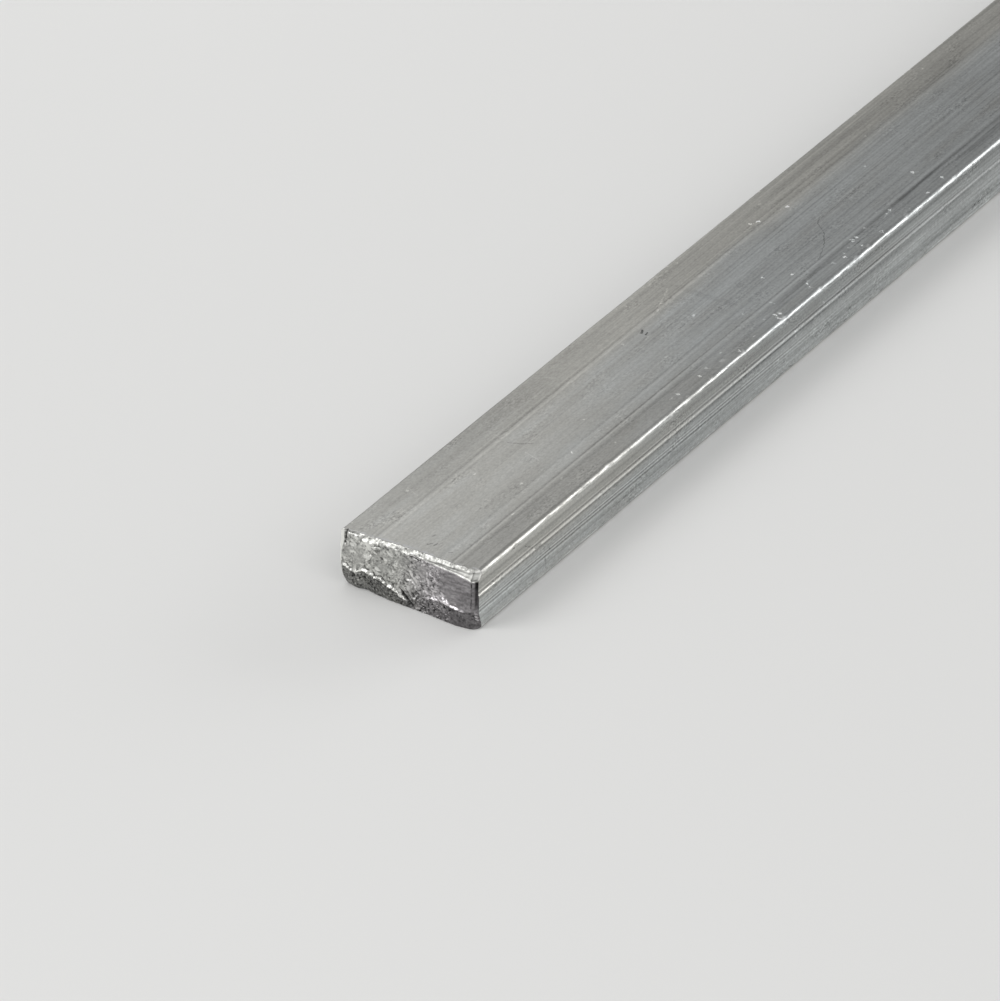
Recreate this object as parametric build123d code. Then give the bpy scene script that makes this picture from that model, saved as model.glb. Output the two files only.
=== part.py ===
from build123d import *
import os

# Aluminium flat bar, 25 x 10 mm, extruded in one piece. One end was cropped in a shear and is torn,
# the other was sawn square. Millimetres.
# X runs along the bar, with the sheared end at -X. Y runs across it and Z up. The bar lies flat on
# Z = 0, with the origin under the middle of its box.

# ---- the stock ----
length = 1000.0  # along the top face, from the sheared edge to the sawn end
width = 25.0
thickness = 10.0
corner_radius = 0.75  # the four long edges, as the die leaves them

# ---- the die step, a ledge along the -Y edge of the bar ----
step_depth = 0.12  # how far the edge face above the ledge is set in
step_below_top = 3.8

# ---- the sheared end: "reach" is how far a place stands out in front of the sheared top edge ----
lip = 0.45  # the torn lip under the top edge, as high as it is deep
land_lean = 0.02  # reach gained for each mm of depth
crease = 13.0  # from the +Y edge to where the face starts to turn forward
land_skew = 0.12  # reach gained for each mm past the crease
roll_over_angle = 31.0  # how steeply the drawn-down shoulder falls, in degrees

# ---- the ridges across the sheared end, with the torn hollows below them ----
left_ridge_start = 1.0  # from the +Y edge
left_ridge_end = 12.4
left_ridge_height = 4.2  # above the bottom face, where the ridge starts
left_ridge_low = 0.9  # and where it ends
left_setback = 0.75  # how far the foot of the hollow lies behind the ridge
right_ridge_start = 10.6  # from the -Y edge
right_ridge_end = 1.0
right_ridge_height = 3.5
right_ridge_low = 2.9
right_setback = 0.25

# ---- the upright corners of the sheared end ----
left_corner = 0.4  # across the face
left_corner_drop = 0.3  # back along the bar
right_corner = 1.0
right_corner_drop = 0.85

# ---- the blank is cut from a little in front of the sheared end ----
crop_allowance = 12.0


def across(from_left_edge):
    """Y of a place measured from the +Y edge, which is the left one seen from the sheared end."""
    return width / 2 - from_left_edge


def left_reach(height):
    return lip + land_lean * (thickness - height)


def right_reach(from_left_edge, height):
    return left_reach(height) + land_skew * (from_left_edge - crease)


def place(from_left_edge, height, reach):
    return Vector(-reach, across(from_left_edge), height)


def cut_plane(first, second, third):
    """The plane through three places, facing out of the sheared end."""
    normal = (second - first).cross(third - first)
    if normal.X > 0:
        normal = -normal
    return Plane(origin=first, z_dir=normal)


def hollow_plane(start, end, setback):
    """The plane that falls back from a ridge to the foot of the hollow below the ridge's middle."""
    middle = (start + end) / 2
    foot = Vector(middle.X + setback, middle.Y, 0)
    return cut_plane(start, end, foot)


def cut_away(bar, *planes):
    """Takes off the metal that lies in front of every one of the planes."""
    waste = bar
    for plane in planes:
        waste = split(waste, bisect_by=plane, keep=Keep.TOP)
    return bar - waste


def bar_section():
    """The section in the YZ plane: a rectangle with rounded corners and the ledge on its -Y side."""
    ledge = thickness - step_below_top
    upper = Pos(step_depth / 2, thickness / 2) * Rectangle(width - step_depth, thickness)
    lower = Pos(0, ledge / 2) * Rectangle(width, ledge)
    outline = upper + lower
    rows = outline.vertices().group_by(Axis.Y)
    return Plane.YZ * fillet(rows[0] + rows[-1], corner_radius)


def shear(bar):
    """The two flats of the torn face, which meet at the crease."""
    left_land = cut_plane(
        place(0, thickness, left_reach(thickness)),
        place(width, thickness, left_reach(thickness)),
        place(0, 0, left_reach(0)),
    )
    right_land = cut_plane(
        place(crease, thickness, right_reach(crease, thickness)),
        place(width, thickness, right_reach(width, thickness)),
        place(crease, 0, right_reach(crease, 0)),
    )
    return cut_away(bar, left_land, right_land)


def bevel_top(bar):
    """The lip, falling at 45 degrees from the top edge, and the shoulder drawn down in front of it."""
    lip_face = Plane(origin=(0, 0, thickness), z_dir=(-1, 0, 1))
    shoulder = Plane(origin=(-lip, 0, thickness - lip), z_dir=Vector(0, 0, 1).rotate(Axis.Y, -roll_over_angle))
    return cut_away(bar, lip_face, shoulder)


def tear_hollows(bar):
    """The hollow below each ridge. They meet in an upright wall, where the right ridge starts."""
    start = width - right_ridge_start
    end = width - right_ridge_end
    left_hollow = hollow_plane(
        place(left_ridge_start, left_ridge_height, left_reach(left_ridge_height)),
        place(left_ridge_end, left_ridge_low, left_reach(left_ridge_low)),
        left_setback,
    )
    right_hollow = hollow_plane(
        place(start, right_ridge_height, right_reach(start, right_ridge_height)),
        place(end, right_ridge_low, right_reach(end, right_ridge_low)),
        right_setback,
    )
    bar = cut_away(bar, Plane(origin=(0, across(start), 0), z_dir=(0, 1, 0)), left_hollow)
    return cut_away(bar, Plane(origin=(0, across(start), 0), z_dir=(0, -1, 0)), right_hollow)


def bevel_corners(bar):
    """The two upright corners, pulled back where the blade let go of them."""
    inner = width - right_corner
    left_bevel = cut_plane(
        place(left_corner, thickness, left_reach(thickness)),
        place(left_corner, 0, left_reach(0)),
        place(0, thickness, left_reach(thickness) - left_corner_drop),
    )
    right_bevel = cut_plane(
        place(inner, thickness, right_reach(inner, thickness)),
        place(inner, 0, right_reach(inner, 0)),
        place(width, thickness, right_reach(inner, thickness) - right_corner_drop),
    )
    return cut_away(cut_away(bar, left_bevel), right_bevel)


def flat_bar():
    """The sawn and sheared blank, moved so that the middle of its box lies over the origin."""
    bar = Pos(-crop_allowance, 0, 0) * extrude(bar_section(), length + crop_allowance)
    bar = shear(bar)
    bar = bevel_top(bar)
    bar = tear_hollows(bar)
    bar = bevel_corners(bar)
    return Pos(-bar.bounding_box().center().X, 0, 0) * bar


os.makedirs("parts", exist_ok=True)
export_step(flat_bar(), "parts/flat_bar.step")
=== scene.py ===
import math
from types import SimpleNamespace
import bpy
import numpy as np
from mathutils import Matrix, Vector


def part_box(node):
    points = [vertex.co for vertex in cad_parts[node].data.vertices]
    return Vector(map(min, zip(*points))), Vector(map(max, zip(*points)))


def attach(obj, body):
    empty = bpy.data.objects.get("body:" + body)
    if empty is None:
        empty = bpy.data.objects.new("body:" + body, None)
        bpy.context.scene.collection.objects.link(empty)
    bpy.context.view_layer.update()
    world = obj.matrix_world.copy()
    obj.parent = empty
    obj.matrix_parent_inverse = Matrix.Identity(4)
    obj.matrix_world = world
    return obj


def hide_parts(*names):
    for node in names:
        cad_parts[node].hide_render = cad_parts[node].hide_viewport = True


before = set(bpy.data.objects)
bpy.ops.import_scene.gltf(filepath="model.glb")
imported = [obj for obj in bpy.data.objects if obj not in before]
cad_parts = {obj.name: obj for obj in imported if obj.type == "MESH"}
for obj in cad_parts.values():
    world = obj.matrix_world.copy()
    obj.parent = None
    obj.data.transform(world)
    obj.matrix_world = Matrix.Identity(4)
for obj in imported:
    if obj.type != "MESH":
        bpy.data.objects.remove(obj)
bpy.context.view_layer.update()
mm = 0.001
low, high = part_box("flat_bar")
print("frame loaded")

# A flat bar with a sheared, torn end at -X and a sawn end at +X. Its sizes are in mm. "across" is measured
# from its +Y edge to its -Y edge, "up" from the bottom face, and "along" from the sheared top edge to the
# sawn end. "reach" is how far a place on the sheared end stands out in front of that top edge. Lists of
# pairs are (place, value).

tear = dict(
    foremost=1.912,  # the furthest reach of the sheared end
    lip=0.45,  # how far out the lip comes on its way down
    landLean=0.02,  # more reach for each mm of depth
    crease=13.0,  # across the end, from here on the land turns outwards
    landSkew=0.12,  # more reach for each mm past the crease
    topEdge=[(0, 0.0), (13.0, 0.0), (16.5, 0.22), (20.5, 0.45), (23.2, 0.5), (25, 0.1)],
    lipFoot=[(0, 9.85), (3.2, 9.8), (4.0, 9.3), (5.6, 9.2), (6.6, 9.2), (9.0, 9.2), (12.2, 9.15),
             (14.6, 9.25), (17.6, 9.45), (20.8, 9.6), (24.0, 9.65), (25, 9.6)],
    shoulder=[(0, 8.0), (13.5, 9.2), (15.4, 9.1), (17.6, 8.98), (20.8, 8.88), (22.5, 8.74), (24.1, 8.45),
              (25, 8.2)],
    leftRidge=[(0, 4.3), (0.9, 3.95), (2.0, 3.4), (2.9, 3.3), (4.0, 3.85), (4.9, 3.95), (5.6, 3.65),
               (6.5, 3.25), (7.4, 3.1), (8.3, 2.75), (9.35, 2.4), (10.4, 1.9), (11.5, 1.35), (12.4, 0.8),
               (13.3, -1.0)],
    rightRidge=[(11.8, -2.0), (13.4, 1.2), (14.6, 2.5), (15.6, 2.8), (16.7, 3.1), (18.1, 3.2), (19.1, 3.15),
                (20.1, 3.03), (20.8, 2.92), (22.1, 2.83), (23.3, 3.1), (25, 3.5)],
    # how fast a hollow curves back below its ridge
    leftCurve=[(0, 0.10), (3, 0.092), (6, 0.065), (9, 0.045), (13, 0.03)],
    rightCurve=0.004,
    overhang=0.11,  # how far a hollow is set in right under its ridge
    burrReach=0.27,
    # how strong the burrs are along each ridge
    leftBurr=[(0.3, 0.0), (0.8, 1.1), (2.6, 1.1), (4.0, 1.05), (5.4, 0.95), (7.4, 0.95), (8.3, 1.05),
              (9.4, 1.15), (11.8, 1.15), (12.7, 0.0)],
    rightBurr=[(13.2, 0.0), (14.4, 0.6), (15.8, 0.75), (17.2, 1.0), (18.5, 1.2), (20.3, 1.1), (21.5, 0.75),
               (23.2, 0.3), (24.0, 0.0)],
    leftBevel=[(0, 0.32), (0.4, 0.0)],
    cornerFold=[(0, 0.60), (0.95, 0.0)],  # the upper left corner is folded back
    rightBevel=[(23.95, 0.0), (24.4, 0.3), (25.0, 0.8)],
    # rounded off at the lower right
    lowCorner=[(20.8, 0.0), (22.0, 0.12), (23.3, 0.42), (24.3, 0.9), (25.0, 0.75)],
    notch=[(24.4, 0.0), (24.55, 0.4), (24.75, 0.5), (24.9, 0.1), (25.0, 0.0)],
    notchSpan=(4.0, 8.35),
    # heights of the relief
    smearHeight=0.04,
    lumpHeight=0.07,
    grainHeight=0.045,
    calmGrain=0.012,
    hollowLump=0.10,
    hollowGrain=0.06,
    clusterGrain=0.04,
    lipFlakes=(0.12, 0.06),  # on the left, and how much less on the right
    shoulderGrain=0.04,
    ridgeRag=(0.22, 0.16),  # how ragged the left and the right ridge are
    ridgeSoftness=(0.2, 1.3),  # of the right ridge, and how much softer it is near the crease
    leftBurrEdge=(0.52, 0.08),  # above the left ridge, where its burrs start and where they are whole
    burrWidth=(0.45, 0.45),  # of the right burrs, and how much wider they are in the middle
    burrBreaks=1.3,
    crackWander=0.10,
    # noises: patch size across and up, seed
    noises=dict(
        warpAcross=(0.6, 0.6, 151), warpUp=(0.6, 0.6, 161), lumps=(1.1, 1.1, 31), grain=(0.32, 0.32, 41),
        flaky=(0.40, 0.26, 101), brushed=(1.5, 0.13, 105), broken=(0.42, 0.30, 71), wander=(0.4, 0.4, 111),
        hollowLumps=(0.8, 0.8, 81), wiped=(1.4, 0.30, 171), flecks=(0.42, 0.30, 61),
        hollowFlecks=(0.32, 0.22, 121), shoulder=(1.2, 0.12, 181),
    ),
    # smears of the blade: angle, length and width of the patches, seed
    steepSmears=(44, 1.0, 0.30, 11),
    levelSmears=(-8, 3.0, 0.26, 21),
    # where changes start and end: across the end, and from "fold" on up it
    changes=dict(
        darkTongue=(11.2, 12.4), rightHollow=(12.5, 14.0), shoulder=(13.0, 14.5), softRidge=(13.5, 15.6),
        tongueEnd=(15.0, 16.0), right=(15.0, 18.0), wideBurr=(16.5, 17.5), wiped=(16.5, 19.0),
        calm=(17.5, 19.5), smoothHollow=(19.0, 20.5), fewFlecks=(19.0, 21.0), wideBurrEnd=(20.5, 19.5),
        tint=(9.0, 18.0), fold=(6.0, 8.5), lowCorner=(3.2, 0.3), tongueTop=(3.8, 2.6), fewScales=(4.2, 5.0),
    ),
    warp=0.16,  # how far noise moves the patterns
    cluster=(4.9, 8.75, 1.2, 0.55),  # of flecks below the lip: across, up, half length, half height
    # smooth patches: across, up, half length, half height
    smooth=[(3.6, 5.8, 1.1, 1.2), (7.4, 7.1, 1.8, 0.8), (7.6, 5.6, 1.3, 0.8), (14.7, 7.2, 1.1, 1.0),
            (3.5, 7.4, 0.8, 0.6), (1.6, 6.6, 0.6, 1.0), (11.2, 7.6, 0.9, 0.8)],
    # scattered scales: how many are tried, and by their place across the end the share kept and their angle
    scalesTried=330,
    scalesKept=[(0, 0.8), (7, 0.7), (10, 1.0), (17, 1.0), (18.5, 0.22), (25, 0.12)],
    scaleAngle=[(0, -25), (9, -42), (16, -38), (18, -14), (25, 6)],
    # scales of metal, painted bright as glints: across, up, angle, half length, half width
    flecks=[(2.4, 8.0, -20, 0.4, 0.2), (4.6, 9.1, -30, 0.7, 0.32), (5.2, 8.5, -60, 0.75, 0.32),
            (5.9, 8.8, -50, 0.7, 0.28), (4.9, 8.0, -75, 0.4, 0.2), (5.0, 6.1, 50, 0.5, 0.16),
            (3.1, 9.3, -30, 0.45, 0.2), (8.2, 7.0, 0, 0.3, 0.2), (6.8, 4.95, -15, 0.5, 0.24),
            (8.9, 8.25, -35, 0.65, 0.16), (9.45, 5.5, -70, 0.3, 0.14), (12.4, 4.8, 10, 0.5, 0.16),
            (13.2, 4.5, -30, 0.4, 0.14), (14.5, 4.35, -40, 0.35, 0.12), (12.3, 3.1, -40, 0.5, 0.15),
            (16.4, 7.1, -30, 0.45, 0.13), (17.2, 6.6, -60, 0.35, 0.12), (4.9, 6.55, -10, 0.6, 0.34),
            (5.5, 6.9, 30, 0.3, 0.2), (15.6, 3.9, -35, 0.4, 0.14), (18.6, 4.1, -35, 0.5, 0.16),
            (19.6, 3.6, -40, 0.55, 0.16), (13.9, 0.4, 5, 0.5, 0.14), (15.0, 0.35, 0, 0.35, 0.12),
            (17.7, 0.5, 10, 0.4, 0.13), (19.4, 0.5, 0, 0.35, 0.12), (13.1, 1.9, -30, 0.4, 0.16),
            (13.6, 2.4, 20, 0.3, 0.14), (12.6, 2.5, -50, 0.35, 0.13), (24.6, 3.0, -50, 0.3, 0.17),
            (24.65, 2.4, -50, 0.32, 0.17), (24.6, 1.8, -40, 0.3, 0.17)],
    fleckHeight=0.22,
    fleckLimit=[(0, 0.40), (8, 0.40), (11, 0.30), (17, 0.30), (18.5, 0.55), (25, 0.7)],
    # thin cracks: across and up of both ends, half width, depth
    cracks=[(11.2, 2.2, 12.9, 0.5, 0.22, 0.6), (10.7, 2.9, 11.2, 2.3, 0.14, 0.35),
            (1.2, 9.9, 1.05, 7.8, 0.12, 0.4), (24.05, 8.2, 24.0, 3.9, 0.05, 0.12),
            (6.0, 4.1, 6.3, 3.6, 0.10, 0.2), (4.45, 4.9, 4.6, 4.5, 0.10, 0.2),
            (14.6, 4.3, 15.2, 4.0, 0.11, 0.2), (2.9, 4.4, 3.1, 3.8, 0.09, 0.2),
            (13.0, 2.6, 13.7, 1.8, 0.10, 0.3), (14.3, 1.2, 15.2, 0.9, 0.10, 0.2),
            (13.6, 3.3, 14.2, 3.0, 0.09, 0.2), (7.4, 3.9, 7.8, 3.3, 0.12, 0.3),
            (1.3, 4.5, 1.6, 4.0, 0.10, 0.2), (9.3, 3.4, 9.6, 3.0, 0.09, 0.2),
            (5.6, 8.7, 7.4, 8.9, 0.08, 0.15), (12.4, 8.9, 14.4, 8.75, 0.08, 0.15),
            (7.3, 7.2, 7.6, 6.9, 0.12, 0.15)],
    # how uneven the tones are: on the land by smears, lumps, grain and specks, and in the hollows by
    # grain, specks and lumps
    landUneven=(0.30, 0.20, 0.85, 0.55),
    hollowUneven=(1.3, 0.8, 0.35),
    wipedShare=0.6,
    scaleShade=0.5,
    tongueShade=0.38,
    gapShade=0.75,
    underLipShade=0.6,
    crackShade=0.93,
    landTone=[(0, 0.47), (5, 0.47), (9, 0.43), (13, 0.38), (16, 0.35), (18.5, 0.30), (25, 0.28)],
    lipTone=[(0, 0.42), (3.5, 0.45), (9, 0.43), (11, 0.45), (14, 0.42), (16, 0.35), (25, 0.33)],
    # the tone of the hollows, dark as painted shade
    hollowShadeTone=0.172,
    shoulderTone=0.18,
    # the flecks are painted bright as glints
    fleckGlintTone=0.9,
    # the burrs are painted bright as a highlight
    burrHighlightTone=0.8,
    shoulderLineTone=0.85,
    # the left edge is painted bright as a highlight
    paintedLeftHighlightTone=0.95,
    rightEdgeTone=0.23,
    # the upper right corner is painted lighter as a highlight
    tornCornerHighlightTone=0.5,
    landTint=(1.0, 1.0, 0.955),
    rightTint=(1.015, 0.975, 1.0),
    # how far flecks reach back over the top face
    flecksBehind=[(0, 0.15), (3, 0.3), (6, 0.55), (12, 0.5), (15, 0.3), (22, 0.15), (25, 0.3)],
)
width = (high.y - low.y) / mm
thickness = (high.z - low.z) / mm
frontX = low.x / mm + tear["foremost"]
length = high.x / mm - frontX


# Smooth random heights: a random number at each whole-number place of the plane, joined by the
# curve 3t^2 - 2t^3 in both directions. It runs from -1 to 1.
def latticeNoise(a, b, seed):
    table = np.random.default_rng(seed).uniform(-1, 1, (256, 256))
    ia, ib = np.floor(a).astype(int), np.floor(b).astype(int)
    ta, tb = a - ia, b - ib
    ta, tb = ta * ta * (3 - 2 * ta), tb * tb * (3 - 2 * tb)
    near = table[ia & 255, ib & 255] * (1 - ta) + table[(ia + 1) & 255, ib & 255] * ta
    far = table[ia & 255, (ib + 1) & 255] * (1 - ta) + table[(ia + 1) & 255, (ib + 1) & 255] * ta
    return near * (1 - tb) + far * tb


# Each layer has twice the waves and half the height of the one before.
def layeredNoise(a, b, seed, layers=3):
    total = 0.0
    for k in range(layers):
        total = total + latticeNoise(a * 2**k + 7.3 * k, b * 2**k - 3.1 * k, seed + k) / 2**k
    return total / (2 - 2 / 2**layers)


# 0 before start, 1 after end, and 3t^2 - 2t^3 between them.
def ramp(start, end, value):
    t = np.clip((value - start) / (end - start), 0, 1)
    return t * t * (3 - 2 * t)


# The straight lines through a list of (place, value) points.
def lineThrough(points, place):
    return np.interp(place, [p[0] for p in points], [p[1] for p in points])


# Distance from each place to the straight stroke between two places.
def strokeDistance(a, b, startA, startB, endA, endB):
    da, db = endA - startA, endB - startB
    t = np.clip(((a - startA) * da + (b - startB) * db) / (da * da + db * db), 0, 1)
    return np.hypot(a - startA - t * da, b - startB - t * db)


# Layered noise with the patch sizes and the seed of a name.
def tearNoise(name, across, up):
    sizeAcross, sizeUp, seed = tear["noises"][name]
    return layeredNoise(across / sizeAcross, up / sizeUp, seed)


# 0 before a named change and 1 after it.
def changed(name, place):
    return ramp(*tear["changes"][name], place)


# Smears left by the blade: noise stretched along a line that falls by the angle towards the right.
def smears(across, up, angle, longWay, crossWay, seed):
    run, rise = math.cos(math.radians(angle)), -math.sin(math.radians(angle))
    onward, sideways = across * run + up * rise, -across * rise + up * run
    return layeredNoise(onward / longWay, sideways / crossWay, seed, 3)


# Thin scales of metal, each an oval that rises across its width and ends in a small step. s and t run from
# -1 to 1 along and across the oval: it is where s^2 + t^4 < 1, its height is 0.55 - 0.45 t as a share of
# the given one, its brightness is a painted glint, and a dark line of painted shadow follows the step.
def scales(across, up, places):
    lift, bright, shade = np.zeros((3, *across.shape))
    for a, b, angle, halfLength, halfWidth, height, brightness in places:
        run, rise = math.cos(math.radians(angle)), math.sin(math.radians(angle))
        s = ((across - a) * run + (up - b) * rise) / halfLength
        t = (-(across - a) * rise + (up - b) * run) / halfWidth
        inside = ramp(1.15, 0.8, s * s + t**4)
        lift = np.maximum(lift, height * inside * (0.55 - 0.45 * np.clip(t, -1, 1)))
        bright = np.maximum(bright, brightness * inside * (0.88 - 0.12 * np.clip(t, -1, 1)))
        shade = np.maximum(shade, np.exp(-((t + 1.35) / 0.35) ** 2) * ramp(1.1, 0.5, np.abs(s)))
    return lift, bright, shade


# The placed flecks, and more at random places. Their half lengths are 0.14 + 0.42 r^2 and their
# brightness 0.9 r^2.2, each with an r of its own from 0 to 1.
def scatterScales():
    random = np.random.default_rng(7)
    places = [(*fleck, tear["fleckHeight"], 1.0) for fleck in tear["flecks"]]
    for attempt in range(tear["scalesTried"]):
        a = random.uniform(0.6, 23.6)
        b = random.uniform(0.6, 9.3)
        keep, spin, size, glow = random.uniform(0, 1, 4)
        if keep < lineThrough(tear["scalesKept"], a):
            angle = lineThrough(tear["scaleAngle"], a) + (spin - 0.5) * 80
            halfLength = 0.14 + 0.42 * size * size
            places.append((a, b, angle, halfLength, halfLength * 0.42, 0.02 + 0.06 * size, glow**2.2 * 0.9))
    return places


# The noises, regions and lines of the sheared end that its shape and its colour share.
def tearLayers(across, up):
    t, n = tear, SimpleNamespace()
    flat = across * 0
    n.warpA = across + t["warp"] * tearNoise("warpAcross", across, up)
    n.warpB = up + t["warp"] * tearNoise("warpUp", across, up)
    n.right = changed("right", across)
    steep, level = [smears(n.warpA, n.warpB, *t[name]) for name in ("steepSmears", "levelSmears")]
    n.smear = steep * (1 - n.right) + level * n.right
    n.lumps = tearNoise("lumps", across, up)
    n.grain = tearNoise("grain", across, up)
    n.speck = latticeNoise(across / 0.17, up / 0.17, 44)
    n.rag = layeredNoise(across / 0.55, flat + 3.3, 51) + 0.4 * latticeNoise(across / 0.25, flat + 5.5, 55)
    n.rag = n.rag * (1 - 0.6 * changed("fewFlecks", across))
    flaky, brushed = [tearNoise(name, n.warpA, n.warpB) for name in ("flaky", "brushed")]
    n.flake = flaky * (1 - n.right) + brushed * n.right
    n.calm = changed("calm", across)
    for a, b, halfLength, halfHeight in t["smooth"]:
        oval = ((n.warpA - a) / halfLength) ** 4 + ((n.warpB - b) / halfHeight) ** 4
        n.calm = np.maximum(n.calm, 0.85 * np.exp(-oval))
    a, b, halfLength, halfHeight = t["cluster"]
    n.cluster = np.exp(-(((across - a) / halfLength) ** 2 + ((up - b) / halfHeight) ** 2))
    n.lift, n.bright, n.shade = scales(n.warpA, n.warpB, scatterScales())

    # the hollows below the ridges, and the burrs that stand on them
    leftRag, rightRag = t["ridgeRag"]
    leftLine = lineThrough(t["leftRidge"], across) + leftRag * n.rag
    rightLine = lineThrough(t["rightRidge"], across) + rightRag * n.rag
    n.dropLeft, n.dropRight = np.maximum(leftLine - up, 0), np.maximum(rightLine - up, 0)
    sharp, softer = t["ridgeSoftness"]
    softness = sharp + softer * (1 - changed("softRidge", across))
    n.inLeft, n.inRight = ramp(0.0, 0.2, n.dropLeft), ramp(0.0, 1.0, n.dropRight / softness)
    n.hollow = np.maximum(n.inLeft, n.inRight)
    n.smoothHollow = changed("smoothHollow", across) * n.hollow
    broken = np.clip(1.0 + t["burrBreaks"] * tearNoise("broken", across, up), 0.3, 1.3)
    aboveLeft, aboveRight = up - leftLine, up - rightLine
    burrLeft = ramp(*t["leftBurrEdge"], aboveLeft) * ramp(-0.10, 0.0, aboveLeft)
    burrLeft = burrLeft * lineThrough(t["leftBurr"], across)
    narrow, wider = t["burrWidth"]
    wide = narrow + wider * changed("wideBurr", across) * changed("wideBurrEnd", across)
    burrRight = ramp(1.0, 0.1, aboveRight / wide) * ramp(-0.10, 0.0, aboveRight)
    burrRight = burrRight * lineThrough(t["rightBurr"], across)
    n.burr = np.clip((burrLeft + burrRight) * broken, 0, 1.2)

    # the lip under the top edge, and right of the crease the shoulder that falls from it to the land
    uneven = (0.12 - 0.08 * n.right) * layeredNoise(across / 0.6, flat + 9.1, 91)
    n.foot = lineThrough(t["lipFoot"], across) + uneven
    n.shoulder = np.minimum(lineThrough(t["shoulder"], across) + 0.05 * n.rag, n.foot - 0.001)
    n.hasShoulder = changed("shoulder", across)
    n.inLip = ramp(-0.03, 0.03, up - n.foot)
    limit = n.shoulder * n.hasShoulder + n.foot * (1 - n.hasShoulder)
    n.aboveShoulder = ramp(-0.05, 0.05, up - limit)

    # the notch in the right corner, and the cracks
    bottom, top = t["notchSpan"]
    n.inNotch = ramp(bottom - 0.9, bottom + 0.5, up + 0.4 * n.rag) * (1 - ramp(top - 0.1, top + 0.1, up))
    wander = t["crackWander"] * tearNoise("wander", across, up)
    n.cracked, n.crackDepth = np.zeros((2, *across.shape))
    for startA, startB, endA, endB, half, depth in t["cracks"]:
        line = np.exp(-((strokeDistance(across, up, startA, startB, endA, endB) + wander) / half) ** 2)
        n.cracked = np.maximum(n.cracked, line)
        n.crackDepth += depth * line
    return n


# The sheared end as reach(across, up):
#   land     = lip + lean * depth + skew * (across - crease, where that is positive)
#   hollow   = land - overhang - curve * drop^2, with drop the way down from the ridge
#   lip      = straight out from the top edge to its foot, and on from there to the land as the shoulder
# with the bevels, the notch and the cracks taken off, and scales, burrs and noise added. The burrs lean
# out more and more down to their ridge, and break off there.
def tearReach(across, up, n):
    t = tear
    land = t["lip"] + t["landLean"] * (thickness - up) + t["landSkew"] * np.maximum(across - t["crease"], 0)
    leftBack = lineThrough(t["leftCurve"], across) * n.dropLeft**2
    recess = t["overhang"] * (n.inLeft + n.inRight) + leftBack + t["rightCurve"] * n.dropRight**2
    reach = land - recess + t["burrReach"] * n.burr

    roughness = t["grainHeight"] + (t["calmGrain"] - t["grainHeight"]) * n.calm
    roughness = roughness + t["clusterGrain"] * n.cluster
    landRelief = t["smearHeight"] * n.smear + t["lumpHeight"] * n.lumps + roughness * n.grain + n.lift
    hollowRelief = t["hollowLump"] * tearNoise("hollowLumps", across, up)
    hollowRelief = hollowRelief + t["hollowGrain"] * (1 - 0.75 * n.smoothHollow) * n.grain
    reach = reach + (1 - n.hollow) * landRelief + n.hollow * hollowRelief

    edgeReach = lineThrough(t["topEdge"], across)
    down = np.clip((thickness - up) / (thickness - n.foot), 0, 1)
    leftFlakes, lessRight = t["lipFlakes"]
    lipRelief = (leftFlakes - lessRight * n.right) * n.flake * down * (1.2 - down)
    lipReach = edgeReach + t["lip"] * down + lipRelief
    onShoulder = np.clip((n.foot - up) / (n.foot - n.shoulder), 0, 1)
    fall = land - t["lip"] - edgeReach + t["shoulderGrain"] * n.grain * (1 - 0.7 * n.right)
    shoulderReach = lipReach + fall * onShoulder
    reach = reach * (1 - n.aboveShoulder) + shoulderReach * n.aboveShoulder

    folded = lineThrough(t["cornerFold"], across) * changed("fold", up)
    reach = reach - np.maximum(lineThrough(t["leftBevel"], across), folded)
    reach = reach - lineThrough(t["rightBevel"], across)
    reach = reach - lineThrough(t["lowCorner"], across) * changed("lowCorner", up)
    return reach - lineThrough(t["notch"], across) * n.inNotch - n.crackDepth


# One tone laid over another where a mask is 1.
def laid(tone, over, mask):
    return tone + (over - tone) * mask
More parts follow.
